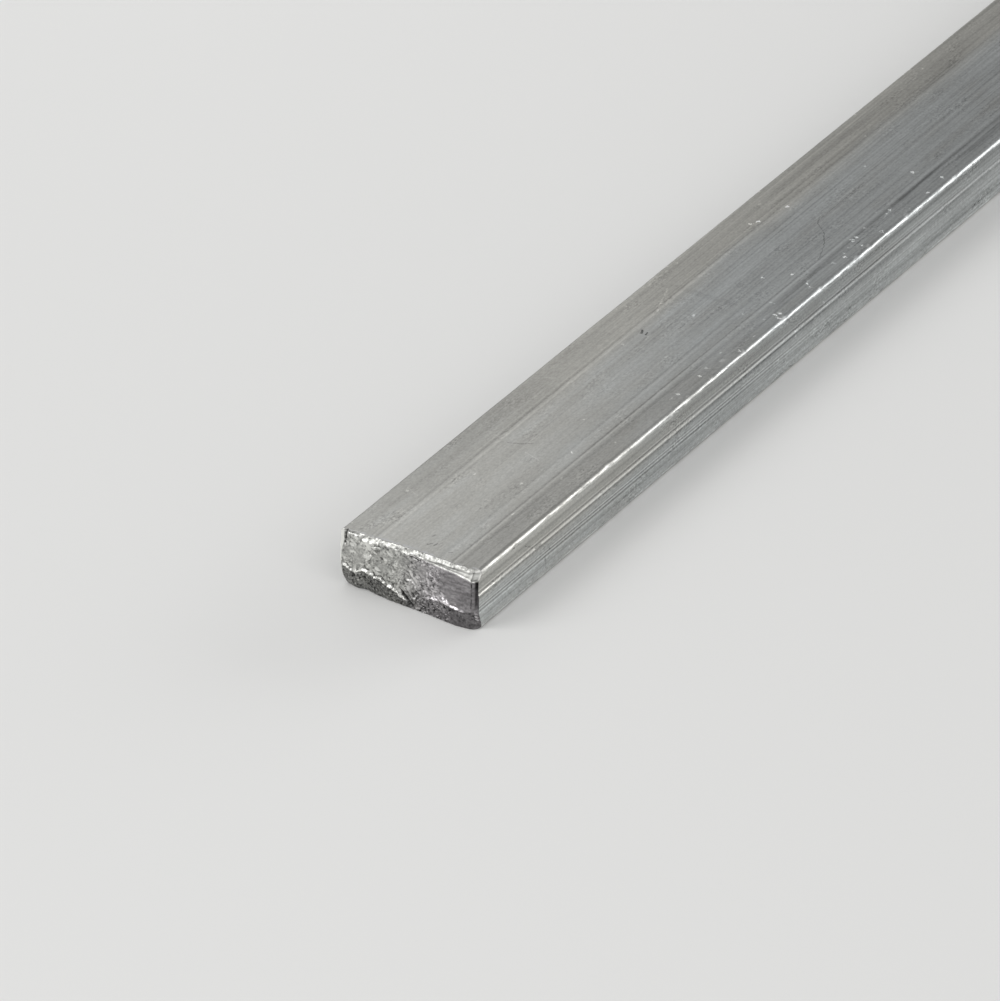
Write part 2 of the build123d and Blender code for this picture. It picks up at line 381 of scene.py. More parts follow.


# The colour of the sheared end: the land and the dark hollows, dark with painted shade, then the bright
# burrs, lip and corners; the burrs, corners and flecks are bright partly with painted highlight.
def tearColour(across, up, n):
    t = tear
    bySmear, byLump, byGrain, bySpeck = t["landUneven"]
    uneven = bySmear * n.smear + byLump * n.lumps + byGrain * n.grain + bySpeck * n.speck
    tone = lineThrough(t["landTone"], across) * (1 + uneven * (1 - 0.75 * n.calm))
    wiped = tearNoise("wiped", across + 0.1 * n.warpB, n.warpB - 0.08 * across)
    tone = tone * (1 + t["wipedShare"] * wiped * changed("wiped", across))  # wiped level on the right
    # a dark line of painted shadow follows the step of each scale
    tone = tone * (1 - t["scaleShade"] * n.shade * (1 - n.calm))
    # bright scales and specks on the land: painted glints, on top of the scales' real tilt
    fleckNoise = tearNoise("flecks", n.warpA, n.warpB)
    speckled = ramp(0, 0.12, fleckNoise - lineThrough(t["fleckLimit"], across) + 0.8 * n.cluster)
    speckled = speckled * 0.8 * (1 - 0.8 * n.calm * (1 - n.cluster))
    bright = n.bright * (1 - 0.85 * changed("calm", across) * changed("fewScales", up))
    tone = laid(tone, t["fleckGlintTone"], np.maximum(bright, speckled))
    between = changed("darkTongue", across) * (1 - changed("tongueEnd", across)) * changed("tongueTop", up)
    tone = tone * (1 - t["tongueShade"] * between)  # the tongue of land between the hollows is darker

    # the hollows are laid dark as painted shade
    byGrain, bySpeck, byLump = t["hollowUneven"]
    coarse = (byGrain * n.grain + bySpeck * n.speck) * (1 - 0.5 * n.smoothHollow) + byLump * n.lumps
    hollowShadeTone = t["hollowShadeTone"] * (1 + coarse)
    hollowShadeTone = hollowShadeTone * (1 - 0.06 * ramp(19.5, 22, across))
    hollowShadeTone = hollowShadeTone * (1 + 0.7 * (1 - n.inRight) * (1 - n.inLeft))
    flecked = 1 - changed("fewFlecks", across)
    # bright flecks in the hollows: painted glints
    hollowFleck = ramp(0.36, 0.55, tearNoise("hollowFlecks", across, up)) * flecked
    flecksAdded = 0.40 * hollowFleck * (1 + 0.5 * changed("rightHollow", across))
    hollowShadeTone = hollowShadeTone + flecksAdded + 0.6 * bright**4
    # painted shadow in the gaps under the burrs
    drop = n.dropLeft + n.dropRight
    gap = ramp(0.0, 0.12, drop) * ramp(0.50, 0.2, drop) * ramp(-0.10, 0.25, n.flake) * flecked
    tone = laid(tone, hollowShadeTone * (1 - t["gapShade"] * gap), n.hollow)  # with dark gaps under the burrs
    # the burrs are painted bright as a highlight, on top of their real outward lean
    burrHighlightTone = np.clip(t["burrHighlightTone"] + 0.6 * n.flake + 0.2 * n.speck, 0.3, 0.95)
    tone = laid(tone, burrHighlightTone, ramp(0.30, 0.70, n.burr))

    brushed = tearNoise("shoulder", across, up)
    shoulderTone = t["shoulderTone"] * (1 + 0.2 * n.grain + 1.3 * brushed) + 0.10 * ramp(23.9, 24.3, across)
    tone = laid(tone, shoulderTone, n.aboveShoulder * (1 - n.inLip) * n.hasShoulder)
    shoulderLine = np.exp(-((up - n.shoulder - 0.02) / 0.11) ** 2) * ramp(13.5, 15.0, across)
    shoulderLine = shoulderLine * (1 - ramp(24.3, 24.6, across)) * np.clip(0.85 + 0.8 * n.flake, 0, 1)
    tone = laid(tone, t["shoulderLineTone"], shoulderLine)
    lipTone = lineThrough(t["lipTone"], across) * np.clip(1.05 + 0.7 * n.flake + 0.6 * n.speck, 0.3, 2.0)
    tone = laid(tone, lipTone, n.inLip)
    underLip = np.exp(-((up - n.foot + 0.09) / 0.07) ** 2) * ramp(13.5, 14.5, across)
    tone = tone * (1 - t["underLipShade"] * underLip * (1 - ramp(21.5, 23.0, across)))

    # painted highlight along the left edge
    leftHighlightStrip = 1 - ramp(0.25, 0.45, across - 0.45 * changed("fold", up))
    tone = laid(tone, t["paintedLeftHighlightTone"], leftHighlightStrip * (1 - 0.3 * n.hollow))
    rightEdge = ramp(23.9, 24.0, across) * (1 - n.aboveShoulder) * ramp(2.5, 3.6, up + 0.3 * n.rag)
    tone = laid(tone, t["rightEdgeTone"] * (1 + 0.5 * n.grain), rightEdge)
    # painted highlight where the corner's highlight bends down the end
    corner = ramp(24.6, 24.85, across) * ramp(8.5, 8.8, up) * ramp(9.9, 9.6, up)
    tone = laid(tone, t["tornCornerHighlightTone"], corner)
    notchTone = 0.03 + 0.13 * ramp(7.6, 6.2, up) + 0.06 * np.maximum(n.grain, 0)
    tone = laid(tone, notchTone, ramp(24.4, 24.52, across) * n.inNotch)
    tone = np.clip(tone * (1 - t["crackShade"] * n.cracked), 0.012, 0.95)
    isRight = changed("tint", across) * (1 - n.aboveShoulder)
    return tone[..., None] * laid(np.array(t["landTint"]), np.array(t["rightTint"]), isRight[..., None])


bar = dict(
    cornerRadius=0.75,
    stepDepth=0.12,  # the ledge on the -Y edge face
    stepBelowTop=3.8,
    stepWidth=0.10,
    edgeWobble=0.05,
    sawnBevel=0.25,
    # the grid over the section: knots across it as shares, steps between them, steps up it between its
    # corners and its ledge, and points on the arc of a corner
    acrossKnots=[0.0, 0.056, 0.952, 1.0],
    acrossSteps=[14, 204, 18],
    upSteps=[48, 2, 30],
    cornerPoints=8,
    # the rows along the bar: ends of the stretches with close rows, steps in each stretch, the last rows
    # before the sawn end, and the least gap between rows
    closeEnds=[12.0, 212.0],
    rowSteps=[11, 44, 26],
    lastRows=[2.0, 1.2, 0.7],
    leastGap=0.12,
    # distances behind the sheared end of the rings that have all the points of its rim
    closeSteps=[0.07, 0.16, 0.28, 0.43, 0.6, 0.8, 1.05, 1.35, 1.7, 2.1, 2.6, 3.3],
    # dents: along, across, up, half length, half width, depth
    dents=[(37.3, 24.6, 9.9, 0.9, 0.35, 0.10), (62.0, 24.3, 9.95, 0.6, 0.3, 0.08),
           (69.0, 24.5, 9.9, 0.6, 0.3, 0.08), (74.5, 23.2, 10.0, 0.9, 0.45, 0.07),
           (79.0, 24.4, 9.95, 0.5, 0.3, 0.09), (91.6, 24.4, 9.95, 1.0, 0.5, 0.14),
           (103.0, 24.5, 9.9, 0.7, 0.35, 0.10), (114.6, 24.3, 9.95, 0.9, 0.4, 0.12),
           (118.9, 24.2, 9.95, 0.7, 0.4, 0.12), (131.0, 24.3, 9.95, 0.8, 0.4, 0.10),
           (146.5, 24.6, 9.85, 0.8, 0.35, 0.10), (9.5, 25.0, 9.1, 0.5, 0.35, 0.08),
           (124.5, 25.0, 9.3, 0.9, 0.4, 0.09), (37.6, 18.1, 10.0, 0.3, 0.2, 0.04),
           (84.8, 12.1, 10.0, 0.5, 0.3, 0.04)],
    rowsAtDent=5,
    # lines drawn by the die: place across the broad faces or up the edge faces, half width, depth, tone
    # near the sheared end and far from it, and the place along the bar where the first starts to fade.
    # Their tones are partly the lines' own and partly painted highlight on the raised lines and the ledge
    # and painted shade in the pressed ones.
    broadLines=[(5.55, 0.18, -0.008, 0.10, 0.0, 60), (6.1, 0.22, 0.012, -0.14, -0.03, 50),
                (6.8, 0.25, -0.010, 0.17, 0.12, 95), (7.15, 0.14, 0.006, -0.06, 0.0, 40),
                (10.9, 0.14, 0.004, 0.06, 0.0, 80), (12.8, 0.16, 0.004, 0.05, 0.0, 60),
                (13.3, 0.16, 0.004, 0.0, -0.10, 95), (17.5, 0.25, 0.014, -0.12, -0.04, 100),
                (18.2, 0.2, -0.008, 0.05, 0.0, 100), (19.77, 0.19, 0.016, -0.26, -0.08, 95),
                (20.2, 0.18, -0.010, 0.14, 0.04, 110), (21.1, 0.3, 0.010, -0.10, -0.06, 150)],
    edgeLines=[(9.38, 0.2, 0.0, 0.0, -0.2, 60), (8.6, 0.4, 0.0, 0.13, -0.05, 40),
               (8.1, 0.12, 0.004, -0.14, -0.05, 120), (7.6, 0.12, -0.004, 0.12, 0.0, 60),
               (6.92, 0.13, -0.012, 0.5, 0.15, 120), (6.6, 0.14, 0.014, -0.3, -0.08, 110),
               (6.1, 0.17, -0.004, 0.62, 0.0, 85), (5.72, 0.16, 0.022, -0.32, -0.05, 90),
               (5.2, 0.12, -0.006, 0.18, 0.0, 60), (4.75, 0.12, 0.006, 0.2, 0.0, 60),
               (4.25, 0.12, -0.012, 0.42, 0.1, 75), (4.02, 0.10, 0.014, -0.42, -0.1, 75),
               (3.70, 0.11, -0.012, 0.42, 0.1, 80), (3.42, 0.12, 0.014, -0.42, -0.05, 80),
               (3.05, 0.12, -0.012, 0.38, 0.1, 65), (2.1, 0.14, 0.010, -0.2, 0.0, 50)],
    turnOver=35,  # length of that fade
    # the flat map for baking: left, low, right and high side of each stretch's place in the unit square
    frontEnd=18.0,  # the first stretch of the long faces ends here
    stripEnds=(300.0, 650.0),
    tearPlace=(0.862, 0.650, 0.997, 0.997),
    frontPlace=(0.862, 0.152, 0.997, 0.642),
    sawnPlace=(0.862, 0.003, 0.997, 0.144),
    stripPlaces=[(0.003, 0.669, 0.853, 0.997), (0.003, 0.336, 0.853, 0.661), (0.003, 0.003, 0.853, 0.328)],
)


# Even steps between the knots, with the given number of steps in each gap.
def spread(knots, counts):
    parts = [np.linspace(a, b, n + 1)[:-1] for a, b, n in zip(knots[:-1], knots[1:], counts)]
    return np.concatenate(parts + [np.array(knots[-1:])])


# Distances along the bar: close near the sheared end and at the dents, and wide past the close stretches.
def buildRows():
    first = bar["closeSteps"][-1]
    lastRows = length - np.array(bar["lastRows"])
    rows = [spread([first + 0.1, *bar["closeEnds"], lastRows[0]], bar["rowSteps"]), lastRows[1:]]
    for along, across, up, halfLength, *rest in bar["dents"]:
        rows.append(along + halfLength * 1.5 * np.linspace(-1, 1, bar["rowsAtDent"]))
    rows = np.unique(np.round(np.concatenate(rows), 3))
    keep = np.concatenate([[True], np.diff(rows) > bar["leastGap"]])
    return rows[keep & (rows > first)]


# Heights of the section's rows. The corner rows sit at even angles of the corner arc.
def buildHeights():
    r, ledge = bar["cornerRadius"], thickness - bar["stepBelowTop"]
    arc = r * (1 - np.cos(np.linspace(0, math.pi / 2, bar["cornerPoints"])))
    half = bar["stepWidth"] / 2
    middle = spread([r, ledge - half, ledge + half, thickness - r], bar["upSteps"])
    return np.concatenate([arc[:-1], middle, thickness - arc[::-1][1:]])


# Half widths of the section at a height: the plain edge, and the edge with the ledge, set in above it.
def halfWidths(up):
    r = bar["cornerRadius"]
    inCorner = np.maximum(r - up, 0) + np.maximum(r - (thickness - up), 0)
    plain = width / 2 - r + np.sqrt(np.maximum(r * r - inCorner**2, 0))
    ledge, half = thickness - bar["stepBelowTop"], bar["stepWidth"] / 2
    return plain, plain - bar["stepDepth"] * np.clip((up - ledge + half) / (2 * half), 0, 1)


# The grid over the section as Y, across and up, a little closer by both edges.
def buildGrid():
    heights = buildHeights()
    plainHalf, ledgeHalf = halfWidths(heights)
    share = spread(bar["acrossKnots"], bar["acrossSteps"])[:, None]
    gridY = plainHalf * (1 - share) - ledgeHalf * share
    return gridY, width / 2 - gridY, np.broadcast_to(heights, gridY.shape)


# The grid's rim, once round: along the bottom, up the -Y edge, back along the top and down the +Y edge.
def rimIndex(nAcross, nUp):
    c, r = np.arange(nAcross), np.arange(nUp)
    i = np.concatenate([c[:-1], np.full(nUp - 1, nAcross - 1), c[:0:-1], np.zeros(nUp - 1, int)])
    j = np.concatenate([np.zeros(nAcross - 1, int), r[:-1], np.full(nAcross - 1, nUp - 1), r[:0:-1]])
    return i * nUp + j


# Outward normals of the rim: the way from the point before to the point after, turned by a quarter.
def rimNormals(y, z):
    ty, tz = np.roll(y, -1) - np.roll(y, 1), np.roll(z, -1) - np.roll(z, 1)
    size = np.hypot(ty, tz)
    return -tz / size, ty / size


# How far the long surface is pressed in: the sum of a bell curve for each drawn line, one for each dent,
# and a slow wobble along the upper edges.
def bodyRelief(along, across, up, normalUp):
    onBroad = ramp(0.75, 0.95, np.abs(normalUp))
    pressed = np.zeros(np.broadcast(along, across).shape)
    for place, half, depth, *tones in bar["broadLines"]:
        pressed += depth * np.exp(-((across - place) / half) ** 2) * onBroad
    for place, half, depth, *tones in bar["edgeLines"]:
        pressed += depth * np.exp(-((up - place) / half) ** 2) * (1 - onBroad)
    for a, c, u, halfLength, halfWidth, depth in bar["dents"]:
        far = ((along - a) / halfLength) ** 2 + ((across - c) ** 2 + (up - u) ** 2) / halfWidth**2
        pressed += depth * np.exp(-far)
    nearEdge = np.exp(-((np.minimum(across, width - across) / 1.2) ** 2))
    nearEdge = nearEdge * ramp(thickness - 1.6, thickness - 0.5, up)
    wobble = layeredNoise(along / 14 + 0 * across, across / 9 + up / 7, 131, 3)
    return pressed + bar["edgeWobble"] * wobble * nearEdge


# Faces between rings of points that go round: one four-sided face for each point of each ring but the last.
def ringQuads(ids):
    after = np.roll(ids, -1, 1)
    return np.stack([ids[:-1], ids[1:], after[1:], after[:-1]], -1).reshape(-1, 4)


# The same for places on the flat map, where the last column repeats the first one at the far side.
def gridQuads(places):
    corners = [places[:-1, :-1], places[1:, :-1], places[1:, 1:], places[:-1, 1:]]
    return np.stack(corners, 2).reshape(-1, 2)


# Places in one part of the flat map, from two shares of its width and height.
def inPlace(place, a, b):
    left, bottom, right, top = place
    a, b = np.broadcast_arrays(a, b)
    return np.stack([left + (right - left) * a, bottom + (top - bottom) * b], -1)


# The long faces are unrolled by the way round the section and cut into strips along the bar.
def flatMap(s):
    step = np.hypot(np.roll(s.rimY, -1) - s.rimY, np.roll(s.rimUp, -1) - s.rimUp)
    around = np.concatenate([[0], np.cumsum(step)]) / step.sum()
    cuts = np.searchsorted(s.farAlong, [bar["frontEnd"], *bar["stripEnds"]])
    ends = [*cuts, len(s.farAlong) - 1]
    frontEnd = s.farAlong[cuts[0]]
    tearMap = inPlace(bar["tearPlace"], s.gridUp.ravel() / thickness, s.gridAcross.ravel() / width)
    closeAlong = np.concatenate([[0], bar["closeSteps"]]) / frontEnd
    closeMap = inPlace(bar["frontPlace"], closeAlong[:, None], around)
    frontMap = inPlace(bar["frontPlace"], s.farAlong[: cuts[0] + 1, None] / frontEnd, around[::2])
    parts = [tearMap[s.capQuads].reshape(-1, 2), gridQuads(closeMap), gridQuads(frontMap)]
    for place, start, end in zip(bar["stripPlaces"], ends[:-1], ends[1:]):
        along = s.farAlong[start : end + 1, None]
        parts.append(gridQuads(inPlace(place, (along - along[0]) / (along[-1] - along[0]), around[::2])))
    a, b, c = closeMap[-1, :-1:2], closeMap[-1, 1::2], closeMap[-1, 2::2]
    d, e = frontMap[0, :-1], frontMap[0, 1:]
    parts += [np.stack(corners, 1).reshape(-1, 2) for corners in ((a, d, b), (b, e, c), (b, d, e))]
    parts.append(inPlace(bar["sawnPlace"], s.backUp / thickness, s.backY / width + 0.5))
    return np.concatenate(parts)


# The torn colour on the long faces: ragged flecks that fade out behind the top edge.
def flecksBehind(backBy, rimAcross, rimUp):
    ragged = layeredNoise(rimAcross / 0.5 + 0 * backBy, backBy / 0.35 + rimUp / 0.5, 141, 3)
    flecks = ramp(0.0, 0.14, 0.5 * ragged + 0.5 * (lineThrough(tear["flecksBehind"], rimAcross) - backBy))
    return flecks * ramp(thickness - 1.5, thickness - 0.5, rimUp)


# The whole bar as one closed skin: the torn end is reach(across, up) on the section grid, and the rim
# is carried along X as rings. After a few close rings every second point is dropped. The sawn end
# is a narrow bevel and one flat face.
def buildBar():
    gridY, gridAcross, gridUp = buildGrid()
    layers = tearLayers(gridAcross, gridUp)
    reach = tearReach(gridAcross, gridUp, layers)
    colour = tearColour(gridAcross, gridUp, layers)
    print("sheared end:", gridY.shape, "points")
    cap = np.stack([frontX - reach.ravel(), gridY.ravel(), gridUp.ravel()], -1)
    rim = rimIndex(*gridY.shape)
    rimX, rimY, rimUp = cap[rim].T
    normalY, normalUp = rimNormals(rimY, rimUp)
    rimAcross = width / 2 - rimY

    def ring(x, pick, inset=0.0):
        relief = bodyRelief(x - frontX, rimAcross[pick], rimUp[pick], normalUp[pick])
        relief = relief * ramp(-0.3, 1.0, x - rimX[pick]) + inset
        return np.stack([x, rimY[pick] - relief * normalY[pick], rimUp[pick] - relief * normalUp[pick]], -1)

    closeSteps = np.array(bar["closeSteps"])[:, None]
    settle = ramp(0.0, closeSteps[-1], closeSteps)
    closeX = (rimX + closeSteps) * (1 - settle) + (frontX + closeSteps) * settle
    closeRings = ring(closeX, slice(None))
    half = slice(None, None, 2)
    nRim, nFar = len(rim), len(rim) // 2
    farAlong = np.concatenate([buildRows(), [length - bar["sawnBevel"], length]])
    inset = np.where(farAlong == length, bar["sawnBevel"], 0.0)[:, None]
    farRings = ring(np.broadcast_to(frontX + farAlong[:, None], (len(farAlong), nFar)), half, inset)
    points = np.concatenate([cap, closeRings.reshape(-1, 3), farRings.reshape(-1, 3)])
    startClose, startFar = len(cap), len(cap) + closeX.size

    ids = np.arange(len(cap)).reshape(gridY.shape)
    capQuads = np.stack([ids[:-1, :-1], ids[:-1, 1:], ids[1:, 1:], ids[1:, :-1]], -1).reshape(-1, 4)
    closeIds = np.vstack([rim, startClose + np.arange(closeX.size).reshape(-1, nRim)])
    farIds = startFar + np.arange(len(farAlong) * nFar).reshape(-1, nFar)
    # the seam where points are dropped: three triangles to each pair of close points
    a, b, c = closeIds[-1, 0::2], closeIds[-1, 1::2], np.roll(closeIds[-1, 0::2], -1)
    d, e = farIds[0], np.roll(farIds[0], -1)
    seam = np.concatenate([np.stack([a, d, b], -1), np.stack([b, e, c], -1), np.stack([b, d, e], -1)])

    quads = np.concatenate([capQuads, ringQuads(closeIds), ringQuads(farIds)])
    loops = np.concatenate([quads.ravel(), seam.ravel(), farIds[-1]])
    sizes = np.concatenate([np.full(len(quads), 4), np.full(len(seam), 3), [nFar]])
    mesh = bpy.data.meshes.new("barSkin")
    mesh.vertices.add(len(points))
    mesh.vertices.foreach_set("co", (points * mm).astype(np.float32).ravel())
    mesh.loops.add(len(loops))
    mesh.loops.foreach_set("vertex_index", loops.astype(np.int32))
    mesh.polygons.add(len(sizes))
    mesh.polygons.foreach_set("loop_start", np.concatenate([[0], np.cumsum(sizes)[:-1]]).astype(np.int32))
    mesh.polygons.foreach_set("loop_total", sizes.astype(np.int32))
    mesh.update(calc_edges=True)
    mesh.validate()
    mesh.polygons.foreach_set("use_smooth", np.arange(len(sizes)) < len(sizes) - 1)

    shape = SimpleNamespace(rimY=rimY, rimUp=rimUp, gridUp=gridUp, gridAcross=gridAcross, capQuads=capQuads,
                            farAlong=farAlong, backY=farRings[-1, :, 1], backUp=farRings[-1, :, 2])
    mesh.uv_layers.new(name="OFBake").uv.foreach_set("vector", flatMap(shape).astype(np.float32).ravel())
    torn = np.zeros(len(points), np.float32)
    paint = np.ones((len(points), 4), np.float32)
    torn[:startClose] = 1.0
    paint[:startClose, :3] = colour.reshape(-1, 3)
    torn[startClose:startFar] = flecksBehind(closeX - rimX, rimAcross, rimUp).ravel()
    paint[startClose:startFar, :3] = tear["lipTone"][0][1]
    mesh.attributes.new("torn", "FLOAT", "POINT").data.foreach_set("value", torn)
    mesh.attributes.new("tornColour", "FLOAT_COLOR", "POINT").data.foreach_set("color", paint.ravel())
    skin = bpy.data.objects.new("flatBarSkin", mesh)
    bpy.context.scene.collection.objects.link(skin)
    print("bar skin:", len(points), "points,", int((sizes - 2).sum()), "triangles")
    return skin


barSkin = buildBar()

finish = dict(
    base=(0.405, 0.402, 0.380),
    cool=(0.365, 0.378, 0.377),
    warm=(0.404, 0.398, 0.371),
    roughness=0.40,
    roughStreaks=0.08,
    tornRoughness=0.36,
    # noises: length of the patches along the bar and width across it, seed, detail
    noises=dict(
        streak=(55, 0.42, 2.0, 4.0), band=(160, 2.4, 1.0, 2.0), cloud=(14, 5, 3.0, 3.0),
        speckle=(0.55, 0.3, 6.0, 2.0), wander=(60, 40, 4.0, 1.0), patches=(9, 3.5, 7.0, 2.0),
        fading=(18, 3, 5.0, 3.0), paintedCornerHighlight=(3.0, 0.35, 17.0, 3.0), bandEdge=(30, 8, 16.0, 2.0),
        smears=(22, 1.1, 8.0, 3.0), scratched=(22, 6, 14.0, 2.0), broken=(0.8, 0.8, 15.0, 2.0),
    ),
    # where changes start and end: along the bar, across it, and up its edge faces
    changes=dict(
        further=(20, 110), edgesDuller=(10, 90), edgesLighter=(45, 5), bandStart=(10, 60),
        smearsStart=(115, 140), nicksStart=(30, 80),
        band=(9.0, 5.0), bandSmears=(4.5, 5.0), bandSmearsEnd=(6.3, 5.7), ledgeSmears=(20.4, 21.2),
        ledgeSmearsEnd=(23.4, 22.6), ledgeNicks=(20.0, 22.5), plainEdgeNicks=(1.2, 0.2),
        coolLow=(6.5, 4.5), dullLow=(6.2, 3.5),
    ),
    # the same in depth below the nearer broad face
    depths=dict(broad=(0.3, 0.1), corner=(0.9, 0.6), lowerArcShade=(0.8, 0.6), lowerArcEnd=(0.32, 0.48)),
    coolShares=(0.6, 0.5, 0.8),  # how much cooler clouds, bands and the low edge faces are
    # tone of the broad faces across the bar, as a share of the base colour
    broadTone=[(0, 0.96), (5.0, 0.96), (6.5, 1.04), (12.0, 1.03), (16.5, 0.98), (19.4, 0.97), (20.4, 0.95),
               (20.9, 0.84), (22.4, 0.85), (24.2, 0.88)],
    # tone of the edge faces from the bottom up, lighter low down as painted light against the shaded floor
    # that they reflect
    edgeToneWithPaintedLight=[(0, 1.55), (2.0, 1.40), (4.5, 1.21), (5.5, 1.14), (6.3, 1.08), (8.6, 1.05), (9.2, 1.12)],
    nearShine=0.07,  # how much lighter the edge faces are near the sheared end
    edgeDull=(-0.02, -0.05),  # how much darker their lower and upper parts are further along
    streak=(0.20, 0.54),  # on the broad faces near the sheared end, and further along
    speckle=(0.30, 0.65),  # in the smooth places, and more in the patchy ones
    edgeFaces=1.5,  # how much stronger both are on the edge faces
    band=0.18,
    cloud=0.20,
    # painted highlight on the rounded corners, and painted shade on the lower part of their arc further
    # along
    paintedCornerHighlight=2.0,  # light and dark stretches of the rounded corners
    cornerShine=(0.34, 0.26),  # how much lighter they are, and more of it further along
    lowerArcShade=-0.4,  # how much darker the lower part of the rounded corners is further along
    bandShine=0.05,
    smear=-0.26,
    nickCells=0.55,  # cells to a mm, each with one small nick or none
    nickChance=(0.012, 0.14, 0.35),  # anywhere, more near the ledge, and more by the plain edge
    nickSize=(0.05, 0.10),  # in cells, the least, and how much more at random
    # how much lighter the small nicks are, painted as glints: the least, and how much more at random
    nickLight=(0.15, 0.6),
    scratch=0.16,
    scratchPatch=(3.2, 0.11),  # length and width
    scratchRise=0.16,
    scratches=[(34.0, 11.0, 0.40), (-24.0, 12.0, 0.44), (72.0, 13.0, 0.48)],  # angle, seed, least noise
    bump=(0.008, 0.002, -0.004),  # heights of streaks, speckle and scratches in mm
    # single strokes: both ends, half width, and tone as a share of the metal's. An end is (along, across)
    # on the top face and (along, up) on the -Y edge face.
    topStrokes=[(35.2, 8.2, 36, 10.4, 0.13, 0.62), (36, 10.4, 37, 11.6, 0.12, 0.6),
                (34, 12, 32.9, 15.2, 0.13, 1.2), (2.4, 13.8, 2.9, 14.3, 0.16, 0.5),
                (2.6, 14.9, 3.3, 15, 0.14, 0.55), (4.9, 13.2, 5.4, 13.4, 0.13, 0.6),
                (1.9, 17.9, 2.2, 18.3, 0.15, 0.55), (12.8, 21.2, 13.4, 21.5, 0.13, 0.55),
                (24, 9, 24.4, 8.8, 0.14, 1.5), (16.6, 20.1, 16.9, 20.2, 0.14, 1.6),
                (75.6, 8.1, 76.5, 7.8, 0.21, 0.15), (75.5, 9, 76.2, 8.8, 0.19, 0.2),
                (74, 9.8, 76.2, 9.4, 0.13, 1.3), (122.6, 13.2, 121, 13.9, 0.1, 0.6),
                (121, 13.9, 119, 16.2, 0.1, 0.55), (119, 16.2, 115.5, 18.2, 0.1, 0.5),
                (115.5, 18.2, 111.5, 19.6, 0.09, 0.62), (123, 13.4, 137, 13.3, 0.09, 0.72),
                (83, 6.6, 86.5, 5.4, 0.12, 1.25), (86.6, 5.4, 90.2, 4.3, 0.13, 1.3),
                (91.4, 5.5, 91, 15.5, 0.75, 0.9), (14.2, 4.8, 15.4, 2.4, 0.12, 1.25),
                (84.3, 12.4, 85.2, 11.9, 0.2, 1.4), (153, 10.9, 160.5, 11.8, 0.14, 1.2),
                (37.3, 18.3, 37.9, 18, 0.12, 1.35), (55.6, 2.6, 56.3, 4, 0.2, 1.15),
                (143.9, 18.2, 144.7, 18.9, 0.16, 1.35), (104.3, 18.7, 104.9, 18.9, 0.17, 1.4),
                (29.6, 21, 30.2, 20.7, 0.15, 1.35), (105.3, 21.4, 111, 21.7, 0.4, 0.78),
                (111.5, 21.7, 116, 22.2, 0.28, 0.82), (118, 22.4, 119.6, 22.5, 0.16, 0.6),
                (128.5, 21.8, 131.5, 21.3, 0.12, 1.5)],
    edgeStrokes=[(12.6, 7.9, 14.7, 6.6, 0.18, 0.55), (14.8, 6.7, 15, 6.3, 0.16, 1.5),
                 (15.4, 6.15, 16.9, 6.1, 0.22, 0.5), (9, 9.2, 9.6, 9.1, 0.2, 0.35),
                 (10.4, 9.2, 10.8, 9.15, 0.16, 0.5), (18.2, 3.4, 18.4, 1.6, 0.3, 0.72),
                 (19.3, 4.3, 19.6, 4.1, 0.18, 0.5), (112, 8.8, 114, 8.8, 0.14, 1.5),
                 (123, 9.4, 131, 9.3, 0.12, 0.55), (145, 9.1, 149, 9.1, 0.14, 1.5)],
    strokeShake=0.5,  # how far noise moves the edges of strokes and nicks
    nickShake=1.2,
    dentTone=1.45,
    # wide soft stains on the top face: along, across, half length, half width, tone
    stains=[(38, 1.6, 22, 3.4, -0.18), (98, 21.6, 32, 3.0, 0.13), (176, 5.5, 14, 1.1, -0.22),
            (95, 7.6, 45, 1.3, 0.06)],
    # round nicks on the top face, painted bright as glints: along, across, half width
    nicks=[(61.6, 22.8, 0.22), (68.4, 22.8, 0.22), (78.6, 24.0, 0.2), (91.5, 22.9, 0.24),
           (92.2, 23.5, 0.26), (90.9, 24.0, 0.25), (101.0, 15.2, 0.22), (104.3, 18.7, 0.24),
           (102.9, 22.3, 0.25), (102.2, 23.2, 0.2), (115.5, 4.8, 0.26), (116.8, 5.5, 0.24),
           (123.5, 6.9, 0.26), (113.6, 23.0, 0.24), (114.6, 22.4, 0.2), (118.3, 23.4, 0.25),
           (119.2, 21.1, 0.27), (120.3, 21.4, 0.24), (118.8, 21.5, 0.22), (124.0, 23.9, 0.25),
           (129.6, 21.7, 0.24), (131.0, 21.4, 0.26), (139.2, 23.7, 0.26), (144.0, 18.2, 0.26),
           (145.0, 23.1, 0.25)],
    nickGlintTone=2.9,
)


# a node with its settings, and with each input linked or set
def addNode(tree, kind, values=None, **settings):
    node = tree.nodes.new(kind)
    for name, value in settings.items():
        setattr(node, name, value)
    for key, value in (values or {}).items():
        if isinstance(value, bpy.types.NodeSocket):
            tree.links.new(value, node.inputs[key])
        else:
            node.inputs[key].default_value = value
    return node


# one step of arithmetic on numbers
def calc(tree, operation, a, b=0.0, c=0.0):
    return addNode(tree, "ShaderNodeMath", {0: a, 1: b, 2: c}, operation=operation).outputs[0]


# the product of all factors
def times(tree, *factors):
    product = factors[0]
    for factor in factors[1:]:
        product = calc(tree, "MULTIPLY", product, factor)
    return product


# a * b + added
def plusTimes(tree, a, b, added):
    return calc(tree, "MULTIPLY_ADD", a, b, added)


# the value, or 0 where it is less and 1 where it is more
def zeroToOne(tree, value):
    return calc(tree, "MAXIMUM", calc(tree, "MINIMUM", value, 1.0), 0.0)


# one step of arithmetic on vectors, with a vector as its result
def vectorCalc(tree, operation, a, b=(0, 0, 0), c=(0, 0, 0)):
    return addNode(tree, "ShaderNodeVectorMath", {0: a, 1: b, 2: c}, operation=operation).outputs[0]


